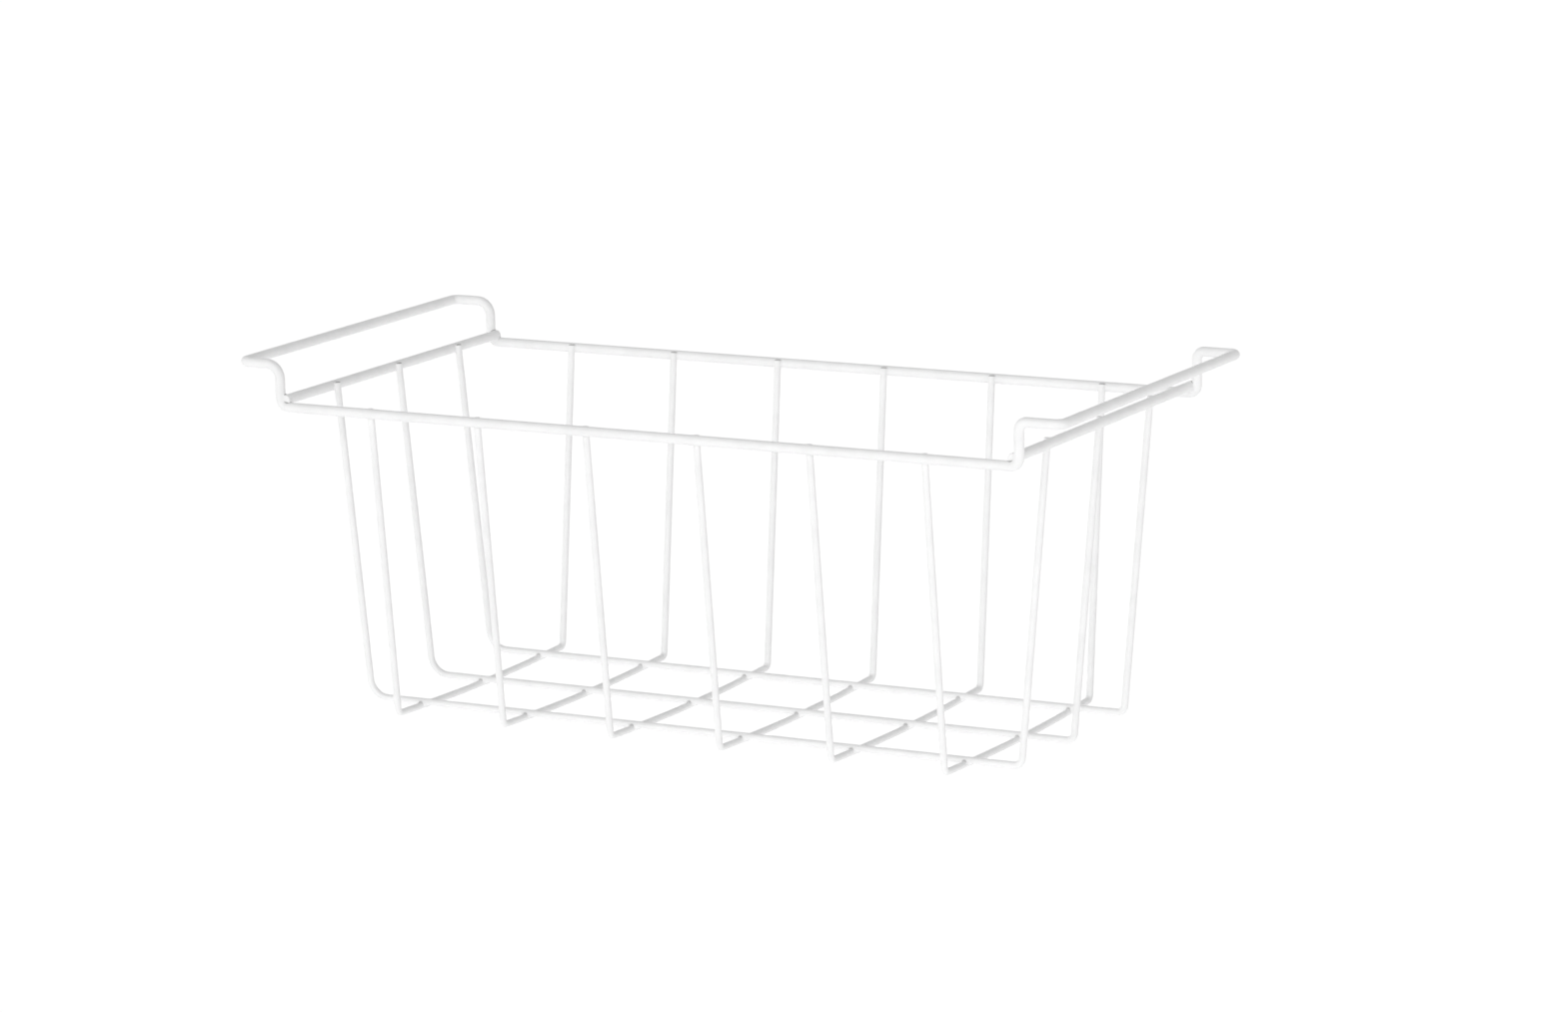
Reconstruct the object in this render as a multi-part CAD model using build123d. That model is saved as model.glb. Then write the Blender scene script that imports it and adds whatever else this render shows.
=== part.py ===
"""Hanging wire basket for a chest freezer, bent and spot-welded from plastic-coated steel wire.

A heavy wire loop makes the rim and, raised at both ends, the two hanger bars that slide along
the freezer's ledges. Two heavy end bars close the rim between the loop's corner legs. Six light
wires cross the basket from long side to long side, and three light wires lie on them from end
to end. Wires are pressed a little into each other where they are spot-welded, and the plastic
coat fills the crease round each weld.

Frame: the origin is on the surface that the basket stands on, under its centre. +X runs along
the basket, +Y across it and +Z up. Lengths are in millimetres.
"""

from build123d import *

import os
from math import sqrt

# Wire diameters over the plastic coat
RIM_WIRE_DIAMETER = 6.0
MESH_WIRE_DIAMETER = 4.2

# Rim loop, between the wire's centre lines
RIM_LENGTH = 486.0
RIM_WIDTH = 246.0
RIM_HEIGHT = 191.5

# Hanger at each end of the rim loop, from the rim's centre line to the hanger bar's
HANGER_REACH = 26.0
HANGER_RISE = 25.5

# End bars, above the rim and past the corner legs' centre lines
END_BAR_RISE = 4.5
END_BAR_OVERHANG = 1.0

# How far the floor's edges lie inside the rim's centre lines at the ends and at the sides
END_LEAN = 25.0
SIDE_LEAN = 24.0

# How far the transverse wires bow down along the floor, from their bends to the middle
FLOOR_BOW = 2.2

# Light wires, and how far the outermost ones lie from the floor's edges
TRANSVERSE_COUNT = 6
TRANSVERSE_END_GAP = 35.5
LONGITUDINAL_COUNT = 3
LONGITUDINAL_SIDE_GAP = 28.0

# How far the light wires' ends stay below the tops of the heavy wires that carry them
WIRE_END_SINK = 0.6

# Inside radii of the bends. Those at the left end are rounder than those at the right end
CORNER_BEND_INSIDE = 2.5
LEFT_SHOULDER_BEND_INSIDE = 6.0
RIGHT_SHOULDER_BEND_INSIDE = 2.0
HANGER_BEND_INSIDE = 1.8
TRANSVERSE_BEND_INSIDE = 2.0
LEFT_FLOOR_BEND_INSIDE = 10.0
RIGHT_FLOOR_BEND_INSIDE = 3.0

# How far two wires are pressed into each other at their weld
CORNER_WELD_DEPTH = 2.2
RIM_WELD_DEPTH = 1.7
FLOOR_WELD_DEPTH = 1.8

# Radii of the beads of coat round the welds
CORNER_BEAD_RADIUS = 3.8
RIM_BEAD_RADIUS = 3.2
FLOOR_BEAD_RADIUS = 2.9

# How far the beads at the rim and the end bars stay below the ends of the light wires
BEAD_SINK = 0.4

# Places worked out from the sizes above
RIM_WIRE_RADIUS = RIM_WIRE_DIAMETER / 2
MESH_WIRE_RADIUS = MESH_WIRE_DIAMETER / 2
LEG_X = RIM_LENGTH / 2
SIDE_Y = RIM_WIDTH / 2
HANGER_X = LEG_X + HANGER_REACH
HANGER_Z = RIM_HEIGHT + HANGER_RISE
END_BAR_X = LEG_X - (RIM_WIRE_DIAMETER - CORNER_WELD_DEPTH)
END_BAR_Z = RIM_HEIGHT + END_BAR_RISE
RIM_WELD_OFFSET = RIM_WIRE_RADIUS + MESH_WIRE_RADIUS - RIM_WELD_DEPTH
RIM_BEAD_DROP = RIM_BEAD_RADIUS + BEAD_SINK + WIRE_END_SINK - RIM_WIRE_RADIUS
FLOOR_LENGTH = RIM_LENGTH - 2 * END_LEAN
FLOOR_WIDTH = RIM_WIDTH - 2 * SIDE_LEAN
BOW_RADIUS = (FLOOR_WIDTH**2 / 4 + FLOOR_BOW**2) / (2 * FLOOR_BOW)
TRANSVERSE_Z = MESH_WIRE_RADIUS
LONGITUDINAL_Z = TRANSVERSE_Z + MESH_WIRE_DIAMETER - FLOOR_WELD_DEPTH


def pattern(count: int, length: float, end_gap: float) -> list[float]:
    """Return evenly spaced places, centred on zero, that leave a gap at each end of a length."""
    pitch = (length - 2 * end_gap) / max(count - 1, 1)
    return [(index - (count - 1) / 2) * pitch for index in range(count)]


TRANSVERSE_X = pattern(TRANSVERSE_COUNT, FLOOR_LENGTH, TRANSVERSE_END_GAP)
LONGITUDINAL_Y = pattern(LONGITUDINAL_COUNT, FLOOR_WIDTH, LONGITUDINAL_SIDE_GAP)


def wire_along(path: Wire, radius: float) -> Part:
    """Return a round wire of the given radius along a path of lines and arcs."""
    section = Plane(origin=path @ 0, z_dir=path % 0) * Circle(radius)
    return sweep(section, path=path)


def rim_half_path(side: int, shoulder_bend_inside: float) -> Wire:
    """Return the centre line of one half of the rim loop, side -1 or +1, from mid side to mid side."""
    corner = CORNER_BEND_INSIDE + RIM_WIRE_RADIUS
    shoulder = shoulder_bend_inside + RIM_WIRE_RADIUS
    hanger = HANGER_BEND_INSIDE + RIM_WIRE_RADIUS
    points = [
        (0, -SIDE_Y, RIM_HEIGHT),
        (side * LEG_X, -SIDE_Y, RIM_HEIGHT),
        (side * LEG_X, -SIDE_Y, HANGER_Z),
        (side * HANGER_X, -SIDE_Y, HANGER_Z),
        (side * HANGER_X, SIDE_Y, HANGER_Z),
        (side * LEG_X, SIDE_Y, HANGER_Z),
        (side * LEG_X, SIDE_Y, RIM_HEIGHT),
        (0, SIDE_Y, RIM_HEIGHT),
    ]
    return FilletPolyline(*points, radius=[corner, shoulder, hanger, hanger, shoulder, corner])


def rim_wire() -> Part:
    """Return the closed heavy loop: two long sides, four corner legs and two hanger bars."""
    left_half = wire_along(rim_half_path(-1, LEFT_SHOULDER_BEND_INSIDE), RIM_WIRE_RADIUS)
    right_half = wire_along(rim_half_path(1, RIGHT_SHOULDER_BEND_INSIDE), RIM_WIRE_RADIUS)
    return left_half + right_half


def end_bar(side: int, rim: Part) -> Part:
    """Return the straight heavy bar at one end, side -1 or +1, seated against the loop's legs."""
    half_length = SIDE_Y + END_BAR_OVERHANG
    place = Plane(origin=(side * END_BAR_X, -half_length, END_BAR_Z), z_dir=(0, 1, 0))
    bar = place * Cylinder(RIM_WIRE_RADIUS, 2 * half_length, align=(Align.CENTER, Align.CENTER, Align.MIN))
    return bar - rim


def floor_rise(y: float) -> float:
    """Return how far the bowed floor lies above its middle, at a place across the basket."""
    return BOW_RADIUS - sqrt(BOW_RADIUS**2 - y**2)


def upright_top(weld: tuple[float, float], floor_corner: tuple[float, float]) -> tuple[float, float]:
    """Return where a light wire ends, a little below the top of the heavy wire that carries it.

    The upright leans from its sharp floor corner out to its weld on the heavy wire. All three are
    given as half width and height.
    """
    (weld_at, weld_height), (floor_at, floor_height) = weld, floor_corner
    lean = (weld_at - floor_at) / (weld_height - floor_height)
    end_rise = RIM_WIRE_RADIUS - WIRE_END_SINK
    return weld_at + lean * end_rise, weld_height + end_rise


def transverse_wire(x: float, rim: Part) -> Part:
    """Return one light wire across the basket, bowed down along the floor and seated inside the rim."""
    floor_at, floor_height = FLOOR_WIDTH / 2, TRANSVERSE_Z + FLOOR_BOW
    top_at, top_height = upright_top((SIDE_Y - RIM_WELD_OFFSET, RIM_HEIGHT), (floor_at, floor_height))
    floor = ThreePointArc((-floor_at, floor_height), (0, TRANSVERSE_Z), (floor_at, floor_height))
    uprights = Line((-top_at, top_height), floor @ 0) + Line(floor @ 1, (top_at, top_height))
    bare_path = uprights + floor
    corners = bare_path.vertices().sort_by(Axis.Y)[:2]
    path = fillet(corners, TRANSVERSE_BEND_INSIDE + MESH_WIRE_RADIUS)
    return wire_along(Plane.YZ.offset(x) * path, MESH_WIRE_RADIUS) - rim


def longitudinal_wire(y: float, seats: list[Part]) -> Part:
    """Return one light wire along the basket, seated inside both end bars and on the cross wires."""
    floor_at, floor_height = FLOOR_LENGTH / 2, LONGITUDINAL_Z + floor_rise(y)
    top_at, top_height = upright_top((END_BAR_X - RIM_WELD_OFFSET, END_BAR_Z), (floor_at, floor_height))
    path = FilletPolyline(
        (-top_at, top_height),
        (-floor_at, floor_height),
        (floor_at, floor_height),
        (top_at, top_height),
        radius=[LEFT_FLOOR_BEND_INSIDE + MESH_WIRE_RADIUS, RIGHT_FLOOR_BEND_INSIDE + MESH_WIRE_RADIUS],
    )
    return wire_along(Plane.XZ.offset(-y) * path, MESH_WIRE_RADIUS) - seats


def bead(
    centre: tuple[float, float, float],
    across: tuple[int, int, int],
    thickness: float,
    radius: float,
    wires: list[Part],
) -> Part:
    """Return the bead of coat that fills the crease round one weld, outside both wires.

    It is a round plate whose axis points across the two wires, from one centre line to the other.
    """
    return Plane(origin=centre, z_dir=across) * Cylinder(radius, thickness) - wires


def corner_beads(rim: Part, end_bars: list[Part]) -> list[Part]:
    """Return the beads where the ends of the end bars lap the corner legs of the rim."""
    thickness = LEG_X - END_BAR_X
    x = END_BAR_X + thickness / 2
    lap_y = SIDE_Y + (END_BAR_OVERHANG - RIM_WIRE_RADIUS) / 2
    return [
        bead((side * x, end * lap_y, END_BAR_Z), (1, 0, 0), thickness, CORNER_BEAD_RADIUS, [rim, bar])
        for side, bar in zip((-1, 1), end_bars)
        for end in (-1, 1)
    ]


def rim_beads(rim: Part, transverse: list[Part]) -> list[Part]:
    """Return the beads between the cross wires and the long sides of the rim."""
    y = SIDE_Y - RIM_WELD_OFFSET / 2
    z = RIM_HEIGHT - RIM_BEAD_DROP
    return [
        bead((x, end * y, z), (0, 1, 0), RIM_WELD_OFFSET, RIM_BEAD_RADIUS, [rim, wire])
        for x, wire in zip(TRANSVERSE_X, transverse)
        for end in (-1, 1)
    ]


def end_bar_beads(end_bars: list[Part], longitudinal: list[Part]) -> list[Part]:
    """Return the beads between the long wires and the end bars."""
    x = END_BAR_X - RIM_WELD_OFFSET / 2
    z = END_BAR_Z - RIM_BEAD_DROP
    return [
        bead((side * x, y, z), (1, 0, 0), RIM_WELD_OFFSET, RIM_BEAD_RADIUS, [bar, wire])
        for side, bar in zip((-1, 1), end_bars)
        for y, wire in zip(LONGITUDINAL_Y, longitudinal)
    ]


def floor_beads(transverse: list[Part], longitudinal: list[Part]) -> list[Part]:
    """Return the beads between the long wires and the cross wires of the floor."""
    z = (TRANSVERSE_Z + LONGITUDINAL_Z) / 2
    thickness = LONGITUDINAL_Z - TRANSVERSE_Z
    return [
        bead((x, y, z + floor_rise(y)), (0, 0, 1), thickness, FLOOR_BEAD_RADIUS, [cross_wire, long_wire])
        for x, cross_wire in zip(TRANSVERSE_X, transverse)
        for y, long_wire in zip(LONGITUDINAL_Y, longitudinal)
    ]


def build() -> dict[str, Part | Compound]:
    """Return every piece of the basket by name."""
    rim = rim_wire()
    end_bars = [end_bar(side, rim) for side in (-1, 1)]
    transverse = [transverse_wire(x, rim) for x in TRANSVERSE_X]
    longitudinal = [longitudinal_wire(y, end_bars + transverse) for y in LONGITUDINAL_Y]
    pieces = {"rim_wire": rim, "end_bar_left": end_bars[0], "end_bar_right": end_bars[1]}
    for number, wire in enumerate(transverse, start=1):
        pieces[f"transverse_wire_{number}"] = wire
    for number, wire in enumerate(longitudinal, start=1):
        pieces[f"longitudinal_wire_{number}"] = wire
    pieces["corner_welds"] = Compound(children=corner_beads(rim, end_bars))
    pieces["rim_welds"] = Compound(children=rim_beads(rim, transverse))
    pieces["end_bar_welds"] = Compound(children=end_bar_beads(end_bars, longitudinal))
    pieces["floor_welds"] = Compound(children=floor_beads(transverse, longitudinal))
    return pieces


os.makedirs("parts", exist_ok=True)
for name, piece in build().items():
    export_step(piece, f"parts/{name}.step")
    print(f"{name}: {len(piece.solids())} solid(s), {piece.volume:.1f} mm3")
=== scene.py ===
"""Blender scene for a white freezer basket of coated steel wire.

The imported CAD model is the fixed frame. Each of its wires is made again here as a smooth skin of
plastic coat that follows the wire's centre line, with the round edge that the coat gives a cut
end. Each spot weld gets the hollow fillet of coat that gathers in the crease between two wires.
All lengths are in metres, in the frame of the CAD model.
"""

from __future__ import annotations

import logging
import math
from collections.abc import Callable, Iterable
from dataclasses import dataclass
from enum import Enum
from typing import Any

import bpy
import numpy as np
from mathutils import Matrix, Vector

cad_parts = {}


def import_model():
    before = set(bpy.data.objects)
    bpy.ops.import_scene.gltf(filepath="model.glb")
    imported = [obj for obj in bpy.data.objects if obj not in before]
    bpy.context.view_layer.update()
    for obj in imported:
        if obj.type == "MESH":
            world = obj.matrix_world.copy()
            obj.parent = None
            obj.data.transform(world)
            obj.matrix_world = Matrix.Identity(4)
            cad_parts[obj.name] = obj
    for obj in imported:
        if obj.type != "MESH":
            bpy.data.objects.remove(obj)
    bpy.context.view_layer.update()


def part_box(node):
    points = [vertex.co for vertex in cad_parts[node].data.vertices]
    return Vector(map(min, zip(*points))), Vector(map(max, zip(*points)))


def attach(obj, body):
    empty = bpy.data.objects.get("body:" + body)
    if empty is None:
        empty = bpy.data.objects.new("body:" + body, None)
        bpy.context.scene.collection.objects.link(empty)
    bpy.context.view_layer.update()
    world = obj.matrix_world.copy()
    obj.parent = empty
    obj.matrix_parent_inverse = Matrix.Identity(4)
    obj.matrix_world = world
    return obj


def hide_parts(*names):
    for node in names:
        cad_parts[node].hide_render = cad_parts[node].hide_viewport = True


log = logging.getLogger("freezer_basket")

MM = 0.001
BODY = "root"
# The point attribute that carries painted shade in the welds' creases and on some cut ends.
PAINTED_SHADE = "bareness"
WIDTH_SHARE = "width_share"
TURN = "turn"
WHITE = "#FFFFFF"

# The curve of the sRGB standard, which is straight up to its knee.
SRGB_KNEE = 0.04045
SRGB_SLOPE = 12.92
SRGB_OFFSET = 0.055
SRGB_POWER = 2.4

# The sockets of a Mix node that take and give colours. Number sockets share their names.
MIX_SHARE, MIX_FIRST, MIX_SECOND = 0, 6, 7
MIX_COLOUR = 2

# One place, an array of places with one in each row, and an array of numbers.
Point = np.ndarray
Points = np.ndarray
Values = np.ndarray


def linear(colour: str) -> tuple[float, float, float, float]:
    """Turn an sRGB hex colour into Blender's linear colour.

    Args:
        colour: Six hex digits after a hash sign.

    Returns:
        Red, green, blue and an alpha of one.
    """
    levels = [int(colour[place : place + 2], 16) / 255 for place in (1, 3, 5)]
    red, green, blue = (
        level / SRGB_SLOPE
        if level <= SRGB_KNEE
        else ((level + SRGB_OFFSET) / (1 + SRGB_OFFSET)) ** SRGB_POWER
        for level in levels
    )
    return red, green, blue, 1.0


def add_node(
    tree: bpy.types.NodeTree, kind: str, inputs: dict[str | int, Any] | None = None, **settings: Any
) -> bpy.types.Node:
    """Add a node with its settings and links.

    Args:
        tree: The tree that gets the node.
        kind: Blender's name for the kind of node.
        inputs: Values for the input sockets, or the output sockets that feed them.
        settings: Values for the node's own properties.

    Returns:
        The new node.
    """
    node = tree.nodes.new(kind)
    for name, value in settings.items():
        setattr(node, name, value)
    for key, value in (inputs or {}).items():
        if isinstance(value, bpy.types.NodeSocket):
            tree.links.new(value, node.inputs[key])
        else:
            node.inputs[key].default_value = value
    return node


class Gauge(Enum):
    """The basket's two wire gauges, as diameters over the coat."""

    HEAVY = 6.0 * MM
    LIGHT = 4.2 * MM

    @property
    def radius(self) -> float:
        """Return half of the diameter."""
        return self.value / 2


class Side(Enum):
    """The two ends, or the two long sides, of the basket by their sign on the axis."""

    LOW = -1
    HIGH = 1

    @property
    def turn(self) -> float:
        """Return the turn about the upright axis that takes a piece here from the high side."""
        return 0.0 if self is Side.HIGH else math.pi


@dataclass(frozen=True)
class WhiteCoat:
    """Fluid-bed coating of white polyethylene, fused smooth on hot steel wire.

    The eye sees a plain white with a soft satin gloss. The powder melts to a skin with a faint
    orange peel and a slow swell, and is a shade greyer where it runs thin. A slow noise says where:
    the coat is thin below thin_below, and thick above thick_above. Painted shade greys the colour
    towards painted_shade_colour in the welds' creases, most where they face up, and on some cut
    wire ends.
    """

    thick_colour: str = "#F7F7F7"
    thin_colour: str = "#F3F3F3"
    # The grey of the painted shade.
    painted_shade_colour: str = "#747472"
    thin_below: float = 0.35
    thick_above: float = 0.60
    roughness_smooth: float = 0.40
    roughness_dull: float = 0.50
    ior: float = 1.51
    shade_size: float = 14.0 * MM
    gloss_size: float = 4.0 * MM
    peel_size: float = 1.4 * MM
    peel_height: float = 0.012 * MM

    def material(self) -> bpy.types.Material:
        """Make the coat's node material, whose patterns lie in the basket's own frame.

        Returns:
            The material.
        """
        material = bpy.data.materials.new("white_polyethylene_coat")
        material.use_nodes = True
        tree = material.node_tree
        tree.nodes.clear()
        place = add_node(tree, "ShaderNodeTexCoord").outputs["Object"]
        patches = {"Vector": place, "Scale": 1 / self.shade_size, "Detail": 2.0, "Roughness": 0.5}
        shade = add_node(tree, "ShaderNodeTexNoise", patches)
        coated = add_node(tree, "ShaderNodeValToRGB", {"Fac": shade.outputs["Fac"]})
        ramp = coated.color_ramp.elements
        ramp[0].position, ramp[0].color = self.thin_below, linear(self.thin_colour)
        ramp[1].position, ramp[1].color = self.thick_above, linear(self.thick_colour)
        # Painted shade: the point attribute greys the coat in the welds' creases and on some cut ends.
        shade_mask = add_node(tree, "ShaderNodeAttribute", attribute_name=PAINTED_SHADE).outputs["Fac"]
        both = {MIX_SHARE: shade_mask, MIX_FIRST: coated.outputs["Color"], MIX_SECOND: linear(self.painted_shade_colour)}
        colour = add_node(tree, "ShaderNodeMix", both, data_type="RGBA").outputs[MIX_COLOUR]
        patches = {"Vector": place, "Scale": 1 / self.gloss_size, "Detail": 3.0}
        gloss = add_node(tree, "ShaderNodeTexNoise", patches)
        limits = {"To Min": self.roughness_smooth, "To Max": self.roughness_dull}
        roughness = add_node(tree, "ShaderNodeMapRange", {"Value": gloss.outputs["Fac"], **limits})
        patches = {"Vector": place, "Scale": 1 / self.peel_size, "Detail": 2.0, "Roughness": 0.4}
        peel = add_node(tree, "ShaderNodeTexNoise", patches)
        bump = add_node(
            tree,
            "ShaderNodeBump",
            {"Height": peel.outputs["Fac"], "Distance": self.peel_height, "Strength": 1.0},
        )
        skin = add_node(
            tree,
            "ShaderNodeBsdfPrincipled",
            {
                "Base Color": colour,
                "Roughness": roughness.outputs["Result"],
                "IOR": self.ior,
                "Normal": bump.outputs["Normal"],
            },
        )
        add_node(tree, "ShaderNodeOutputMaterial", {"Surface": skin.outputs["BSDF"]})
        return material


@dataclass(frozen=True)
class Straight:
    """A straight run of a wire's centre line."""

    start: Point
    end: Point

    @property
    def length(self) -> float:
        """Return the length of the run."""
        return float(np.linalg.norm(self.end - self.start))

    def at(self, share: float) -> Point:
        """Return the place at a share of the run's length."""
        return self.start + (self.end - self.start) * share

    def distance(self, places: Points) -> Values:
        """Measure how far places lie from the run.

        Args:
            places: The places.

        Returns:
            The distance from each place to the nearest point of the run.
        """
        run = self.end - self.start
        share = np.clip((places - self.start) @ run / (run @ run), 0, 1)
        return np.linalg.norm(places - self.start - share[:, None] * run, axis=1)


@dataclass(frozen=True)
class Arc:
    """A bend of a wire's centre line, turned about a centre from a first arm."""

    centre: Point
    arm: Point
    axis: Point
    angle: float

    @classmethod
    def between(cls, centre: Point, start: Point, end: Point) -> Arc:
        """Make the bend about a centre from one place to another, the short way round.

        Args:
            centre: The centre of the bend.
            start: Where the bend starts.
            end: Where the bend ends, as far from the centre as its start.

        Returns:
            The bend.
        """
        arm, last = start - centre, end - centre
        across = np.cross(arm, last)
        size = float(np.linalg.norm(across))
        return cls(centre, arm, across / size, math.atan2(size, float(arm @ last)))

    @property
    def radius(self) -> float:
        """Return the bend's radius on the centre line."""
        return float(np.linalg.norm(self.arm))

    @property
    def length(self) -> float:
        """Return the length of the bend."""
        return self.radius * self.angle

    def at(self, share: float) -> Point:
        """Find a place on the bend.

        Args:
            share: The share of the bend's length that lies before the place.

        Returns:
            The place.
        """
        turn = self.angle * share
        side = np.cross(self.axis, self.arm)
        return self.centre + self.arm * math.cos(turn) + side * math.sin(turn)

    def distance(self, places: Points) -> Values:
        """Measure how far places lie from the bend.

        Args:
            places: The places.

        Returns:
            The distance from each place to the nearest point of the bend.
        """
        first = self.arm / self.radius
        second = np.cross(self.axis, first)
        local = places - self.centre
        along, across = local @ first, local @ second
        middle = self.angle / 2
        turn = np.arctan2(across, along) - middle
        turn = (turn + math.pi) % (2 * math.pi) - math.pi
        turn = np.clip(turn, -middle, middle) + middle
        arm = np.cos(turn)[:, None] * first + np.sin(turn)[:, None] * second
        return np.linalg.norm(local - self.radius * arm, axis=1)


@dataclass(frozen=True)
class Bend:
    """A corner of a wire, where its straight runs would meet, and its centre-line radius."""

    corner: Point
    radius: float


class Route:
    """The centre line of one wire, made of straight runs and bends.

    The wire's skin gets a ring at least every straight_step, and every bend_step of a bend. The round
    edge of each cut end gets edge_rings more, and no other ring comes nearer to it than least_gap.
    """

    straight_step = 2.0 * MM
    bend_step = math.radians(5)
    cut_edge = 0.7 * MM
    edge_rings = 6
    least_gap = 0.35 * MM

    def __init__(
        self,
        pieces: Iterable[Straight | Arc],
        gauge: Gauge,
        closed: bool = False,
        shaded_tips: tuple[float, float] = (0.0, 0.0),
    ) -> None:
        """Lay the wire along its pieces.

        Args:
            pieces: The straight runs and bends in order, each starting where the last one ends.
            gauge: The wire's gauge.
            closed: Whether the last piece ends where the first one starts.
            shaded_tips: How much painted shade darkens the first and the last cut end.
        """
        self.gauge = gauge
        self.closed = closed
        self.shaded_tips = shaded_tips
        self.pieces = list(pieces)

    @classmethod
    def through(cls, bends: list[Bend], closed: bool = False) -> Iterable[Straight | Arc]:
        """Run a wire straight from bend to bend.

        Args:
            bends: The wire's corners in order. An open wire's first and last have no radius.
            closed: Whether the last corner joins the first.

        Yields:
            The straight runs and the bends in order.
        """
        count = len(bends)
        if closed:
            arcs = [cls.arc(bends[i - 1], bends[i], bends[(i + 1) % count]) for i in range(count)]
            here = arcs[-1].at(1)
        else:
            arcs = [cls.arc(*bends[i - 1 : i + 2]) for i in range(1, count - 1)]
            here = bends[0].corner
        for arc in arcs:
            yield Straight(here, arc.at(0))
            yield arc
            here = arc.at(1)
        if not closed:
            yield Straight(here, bends[-1].corner)

    @staticmethod
    def arc(before: Bend, bend: Bend, after: Bend) -> Arc:
        """Round the middle one of three corners.

        Args:
            before: The corner before it.
            bend: The corner, with the radius of its bend.
            after: The corner after it.

        Returns:
            The bend, which touches both straight runs.
        """
        into = (bend.corner - before.corner) / np.linalg.norm(bend.corner - before.corner)
        out = (after.corner - bend.corner) / np.linalg.norm(after.corner - bend.corner)
        angle = math.acos(float(np.clip(into @ out, -1, 1)))
        inward = out - (out @ into) * into
        inward /= np.linalg.norm(inward)
        start = bend.corner - into * bend.radius * math.tan(angle / 2)
        centre = start + inward * bend.radius
        return Arc(centre, start - centre, np.cross(into, inward), angle)

    @property
    def length(self) -> float:
        """Return the length of the centre line."""
        return sum(piece.length for piece in self.pieces)

    def distance(self, places: Points) -> Values:
        """Measure how far places lie from the skin of the wire.

        Args:
            places: The places.

        Returns:
            The distance from each place to the skin, below zero inside the wire.
        """
        pieces = list(self.pieces)
        if not self.closed:
            pieces[0] = self.longer(pieces[0], 1, 0)
            pieces[-1] = self.longer(pieces[-1], 0, 1)
        skin = np.min([piece.distance(places) for piece in pieces], axis=0) - self.gauge.radius
        if self.closed:
            return skin
        skin = self.cut(skin, places, self.pieces[0].end, self.pieces[0].start)
        return self.cut(skin, places, self.pieces[-1].start, self.pieces[-1].end)

    def longer(self, run: Straight, before: int, after: int) -> Straight:
        """Return a straight run made longer by so many wire widths before its start and after its end."""
        share = self.gauge.value / run.length
        return Straight(run.at(-before * share), run.at(1 + after * share))

    def cut(self, skin: Values, places: Points, inner: Point, tip: Point) -> Values:
        """Cut a skin off square at a tip, and round the edge as the coat does.

        Args:
            skin: The distances from the places to the skin that isn't cut.
            places: The places.
            inner: A place on the centre line before the tip.
            tip: The place where the centre line ends.

        Returns:
            The distances from the places to the cut skin.
        """
        beyond = (places - tip) @ (tip - inner) / np.linalg.norm(tip - inner)
        over = np.hypot(np.maximum(skin + self.cut_edge, 0), np.maximum(beyond + self.cut_edge, 0))
        return np.minimum(np.maximum(skin, beyond), -self.cut_edge) + over

    def stations(self) -> list[float]:
        """Choose where along the centre line the skin gets its rings.

        Returns:
            The length along the centre line at each ring, in order.
        """
        stations = []
        reached = 0.0
        for piece in self.pieces:
            count = math.ceil(piece.length / self.straight_step)
            if isinstance(piece, Arc):
                count = max(count, math.ceil(piece.angle / self.bend_step))
            stations += [reached + piece.length * i / count for i in range(count)]
            reached += piece.length
        if self.closed:
            return stations
        angles = [math.pi / 2 * i / self.edge_rings for i in range(self.edge_rings + 1)]
        edge = [self.cut_edge * (1 - math.cos(angle)) for angle in angles]
        first, last = self.cut_edge + self.least_gap, reached - self.cut_edge - self.least_gap
        inner = [station for station in stations if first < station < last]
        return edge + inner + [reached - station for station in reversed(edge)]

    def width_share(self, station: float) -> float:
        """Find how wide the skin is, which is less on the round edge of a cut end.

        Args:
            station: The length along the centre line.

        Returns:
            The skin's width as a share of the wire's.
        """
        short = 1 - min(station, self.length - station) / self.cut_edge
        if self.closed or short <= 0:
            return 1.0
        return 1 - self.cut_edge / self.gauge.radius * (1 - math.sqrt(max(1 - short**2, 0)))

    def place_at(self, station: float) -> Point:
        """Find a place on the centre line.

        Args:
            station: The length along the centre line.

        Returns:
            The place.
        """
        for piece in self.pieces:
            if station <= piece.length:
                return piece.at(station / piece.length)
            station -= piece.length
        return self.pieces[-1].at(1)

    def bareness(self, station: float) -> float:
        """Find how much painted shade darkens the wire, which is nowhere but on a cut end.

        Args:
            station: The length along the centre line.

        Returns:
            Zero for the plain coat colour, and one for the full painted shade.
        """
        # Painted shade on the cut ends, fading within cut_edge of each tip.
        inwards = station, self.length - station
        near = [max(1 - distance / self.cut_edge, 0) for distance in inwards]
        return self.shaded_tips[0] * near[0] + self.shaded_tips[1] * near[1]

    def mesh(self, name: str) -> bpy.types.Mesh:
        """Make the centre line as edges, with the skin's width and its painted shade at each point.

        Args:
            name: The mesh's name.

        Returns:
            The mesh, which has no faces.
        """
        stations = self.stations()
        count = len(stations)
        edges = [(i, (i + 1) % count) for i in range(count if self.closed else count - 1)]
        mesh = bpy.data.meshes.new(name)
        mesh.from_pydata([self.place_at(station) for station in stations], edges, [])
        note(mesh, WIDTH_SHARE, [self.width_share(station) for station in stations])
        note(mesh, PAINTED_SHADE, [self.bareness(station) for station in stations])
        return mesh


def note(mesh: bpy.types.Mesh, name: str, values: list[float] | Values) -> None:
    """Give each point of a mesh a number under a name."""
    mesh.attributes.new(name, "FLOAT", "POINT").data.foreach_set("value", values)


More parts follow.
